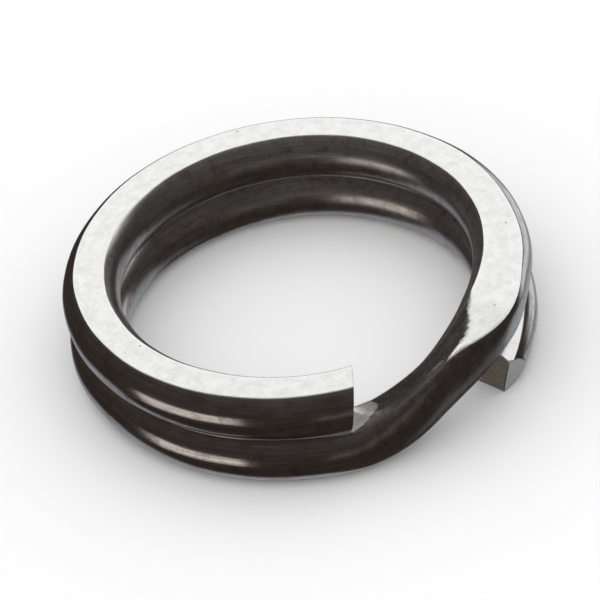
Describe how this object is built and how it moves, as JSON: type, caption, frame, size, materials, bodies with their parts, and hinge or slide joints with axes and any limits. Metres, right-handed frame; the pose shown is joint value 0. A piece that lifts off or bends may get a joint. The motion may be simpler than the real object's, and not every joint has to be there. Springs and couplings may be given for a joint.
{
  "type": "split key ring",
  "caption": "Split key ring: polished spring wire wound in two close turns, with a crossover step and sheared ends; each turn flexes up to let a key slip on.",
  "frame": {"origin": "on the ring's axis, in the plane of the lower turn's underside, which the ring rests on", "axes": "+Z along the ring's axis, up through both turns; the upper turn's cut end lies towards -Y and the step between the turns towards +X and -Y"},
  "size_m": [0.025, 0.025, 0.0055],
  "materials": {
    "polished_steel": "bright polished spring steel with ground flats",
    "sheared_steel": "bright polished spring steel with a sheared end"
  },
  "bodies": {
    "lower_tip": {"lower_tip": "sheared_steel"},
    "lower_turn_01": {"lower_turn_01": "polished_steel"},
    "lower_turn_02": {"lower_turn_02": "polished_steel"},
    "lower_turn_03": {"lower_turn_03": "polished_steel"},
    "lower_turn_04": {"lower_turn_04": "polished_steel"},
    "lower_turn_05": {"lower_turn_05": "polished_steel"},
    "lower_turn_06": {"lower_turn_06": "polished_steel"},
    "lower_turn_07": {"lower_turn_07": "polished_steel"},
    "lower_turn_08": {"lower_turn_08": "polished_steel"},
    "lower_turn_09": {"lower_turn_09": "polished_steel"},
    "lower_turn_10": {"lower_turn_10": "polished_steel"},
    "crossover": {"crossover": "polished_steel"},
    "upper_turn_01": {"upper_turn_01": "polished_steel"},
    "upper_turn_02": {"upper_turn_02": "polished_steel"},
    "upper_turn_03": {"upper_turn_03": "polished_steel"},
    "upper_turn_04": {"upper_turn_04": "polished_steel"},
    "upper_turn_05": {"upper_turn_05": "polished_steel"},
    "upper_turn_06": {"upper_turn_06": "polished_steel"},
    "upper_turn_07": {"upper_turn_07": "polished_steel"},
    "upper_turn_08": {"upper_turn_08": "polished_steel"},
    "upper_turn_09": {"upper_turn_09": "polished_steel"},
    "upper_turn_10": {"upper_turn_10": "polished_steel"},
    "upper_tip": {"upper_tip": "sheared_steel"}
  },
  "joints": [
    {"name": "lower_turn_01_flex", "type": "hinge", "parent": "lower_tip", "child": "lower_turn_01", "pos_m": [0.01063, -0.00335, 0.00128], "axis": [-0.8584, 0.513, 0], "range_deg": [0, 0.15]},
    {"name": "lower_turn_02_flex", "type": "hinge", "parent": "lower_turn_01", "child": "lower_turn_02", "pos_m": [0.01071, 0.00231, 0.00136], "axis": [-0.9313, 0.3644, 0], "range_deg": [0, 0.419]},
    {"name": "lower_turn_03_flex", "type": "hinge", "parent": "lower_turn_02", "child": "lower_turn_03", "pos_m": [0.00817, 0.0073, 0.00136], "axis": [-0.9893, 0.1458, 0], "range_deg": [0, 0.72]},
    {"name": "lower_turn_04_flex", "type": "hinge", "parent": "lower_turn_03", "child": "lower_turn_04", "pos_m": [0.00349, 0.01039, 0.00136], "axis": [-0.9909, -0.1345, 0], "range_deg": [0, 1.02]},
    {"name": "lower_turn_05_flex", "type": "hinge", "parent": "lower_turn_04", "child": "lower_turn_05", "pos_m": [-0.00211, 0.01076, 0.00136], "axis": [-0.8991, -0.4377, 0], "range_deg": [0, 1.26]},
    {"name": "lower_turn_flex", "type": "hinge", "parent": "lower_turn_05", "child": "lower_turn_06", "pos_m": [-0.00715, 0.0083, 0.00136], "axis": [-0.7028, -0.7114, 0], "range_deg": [0, 1.4], "stiffness_Nm_per_rad": 0.05},
    {"name": "lower_turn_07_flex", "type": "hinge", "parent": "lower_turn_06", "child": "lower_turn_07", "pos_m": [-0.01033, 0.00368, 0.00136], "axis": [-0.3355, -0.9421, 0], "range_deg": [0, 1.39]},
    {"name": "lower_turn_08_flex", "type": "hinge", "parent": "lower_turn_07", "child": "lower_turn_08", "pos_m": [-0.01079, -0.00191, 0.00136], "axis": [0.1745, -0.9847, 0], "range_deg": [0, 1.2]},
    {"name": "lower_turn_09_flex", "type": "hinge", "parent": "lower_turn_08", "child": "lower_turn_09", "pos_m": [-0.00843, -0.007, 0.00136], "axis": [0.6388, -0.7694, 0], "range_deg": [0, 0.889]},
    {"name": "lower_turn_10_flex", "type": "hinge", "parent": "lower_turn_09", "child": "lower_turn_10", "pos_m": [-0.00386, -0.01026, 0.00136], "axis": [0.9358, -0.3527, 0], "range_deg": [0, 0.527]},
    {"name": "crossover_flex", "type": "hinge", "parent": "lower_turn_10", "child": "crossover", "pos_m": [0.00171, -0.01082, 0.00138], "axis": [0.9877, 0.1564, 0], "range_deg": [0, 0.212]},
    {"name": "upper_turn_01_flex", "type": "hinge", "parent": "crossover", "child": "upper_turn_01", "pos_m": [0.00909, -0.00613, 0.00412], "axis": [0.5592, 0.829, 0], "range_deg": [0, 0.208]},
    {"name": "upper_turn_02_flex", "type": "hinge", "parent": "upper_turn_01", "child": "upper_turn_02", "pos_m": [0.01093, -0.00082, 0.00417], "axis": [0.075, 0.9972, 0], "range_deg": [0, 0.521]},
    {"name": "upper_turn_03_flex", "type": "hinge", "parent": "upper_turn_02", "child": "upper_turn_03", "pos_m": [0.0099, 0.0047, 0.00417], "axis": [-0.4289, 0.9033, 0], "range_deg": [0, 0.884]},
    {"name": "upper_turn_04_flex", "type": "hinge", "parent": "upper_turn_03", "child": "upper_turn_04", "pos_m": [0.00627, 0.00899, 0.00417], "axis": [-0.8202, 0.5721, 0], "range_deg": [0, 1.2]},
    {"name": "upper_turn_05_flex", "type": "hinge", "parent": "upper_turn_04", "child": "upper_turn_05", "pos_m": [0.00099, 0.01091, 0.00417], "axis": [-0.9959, 0.0906, 0], "range_deg": [0, 1.39]},
    {"name": "upper_turn_flex", "type": "hinge", "parent": "upper_turn_05", "child": "upper_turn_06", "pos_m": [-0.00455, 0.00997, 0.00417], "axis": [-0.9398, -0.3418, 0], "range_deg": [0, 1.4], "stiffness_Nm_per_rad": 0.05},
    {"name": "upper_turn_07_flex", "type": "hinge", "parent": "upper_turn_06", "child": "upper_turn_07", "pos_m": [-0.00889, 0.00641, 0.00417], "axis": [-0.7726, -0.6349, 0], "range_deg": [0, 1.27]},
    {"name": "upper_turn_08_flex", "type": "hinge", "parent": "upper_turn_07", "child": "upper_turn_08", "pos_m": [-0.0109, 0.00117, 0.00417], "axis": [-0.5346, -0.8451, 0], "range_deg": [0, 1.02]},
    {"name": "upper_turn_09_flex", "type": "hinge", "parent": "upper_turn_08", "child": "upper_turn_09", "pos_m": [-0.01004, -0.00439, 0.00417], "axis": [-0.2784, -0.9605, 0], "range_deg": [0, 0.72]},
    {"name": "upper_turn_10_flex", "type": "hinge", "parent": "upper_turn_09", "child": "upper_turn_10", "pos_m": [-0.00655, -0.00879, 0.00417], "axis": [-0.0549, -0.9985, 0], "range_deg": [0, 0.419]},
    {"name": "upper_tip_flex", "type": "hinge", "parent": "upper_turn_10", "child": "upper_tip", "pos_m": [-0.00134, -0.01088, 0.00417], "axis": [0.1109, -0.9938, 0], "range_deg": [0, 0.15]}
  ],
  "couplings": [
    {"joint": "lower_turn_01_flex", "follows": "lower_turn_flex", "ratio": 0.1071},
    {"joint": "lower_turn_02_flex", "follows": "lower_turn_flex", "ratio": 0.2988},
    {"joint": "lower_turn_03_flex", "follows": "lower_turn_flex", "ratio": 0.5136},
    {"joint": "lower_turn_04_flex", "follows": "lower_turn_flex", "ratio": 0.7283},
    {"joint": "lower_turn_05_flex", "follows": "lower_turn_flex", "ratio": 0.9032},
    {"joint": "lower_turn_07_flex", "follows": "lower_turn_flex", "ratio": 0.9919},
    {"joint": "lower_turn_08_flex", "follows": "lower_turn_flex", "ratio": 0.8597},
    {"joint": "lower_turn_09_flex", "follows": "lower_turn_flex", "ratio": 0.6348},
    {"joint": "lower_turn_10_flex", "follows": "lower_turn_flex", "ratio": 0.376},
    {"joint": "crossover_flex", "follows": "lower_turn_flex", "ratio": 0.1512},
    {"joint": "upper_turn_01_flex", "follows": "upper_turn_flex", "ratio": 0.148},
    {"joint": "upper_turn_02_flex", "follows": "upper_turn_flex", "ratio": 0.3721},
    {"joint": "upper_turn_03_flex", "follows": "upper_turn_flex", "ratio": 0.6311},
    {"joint": "upper_turn_04_flex", "follows": "upper_turn_flex", "ratio": 0.8572},
    {"joint": "upper_turn_05_flex", "follows": "upper_turn_flex", "ratio": 0.9908},
    {"joint": "upper_turn_07_flex", "follows": "upper_turn_flex", "ratio": 0.9038},
    {"joint": "upper_turn_08_flex", "follows": "upper_turn_flex", "ratio": 0.729},
    {"joint": "upper_turn_09_flex", "follows": "upper_turn_flex", "ratio": 0.5141},
    {"joint": "upper_turn_10_flex", "follows": "upper_turn_flex", "ratio": 0.299},
    {"joint": "upper_tip_flex", "follows": "upper_turn_flex", "ratio": 0.107}
  ]
}
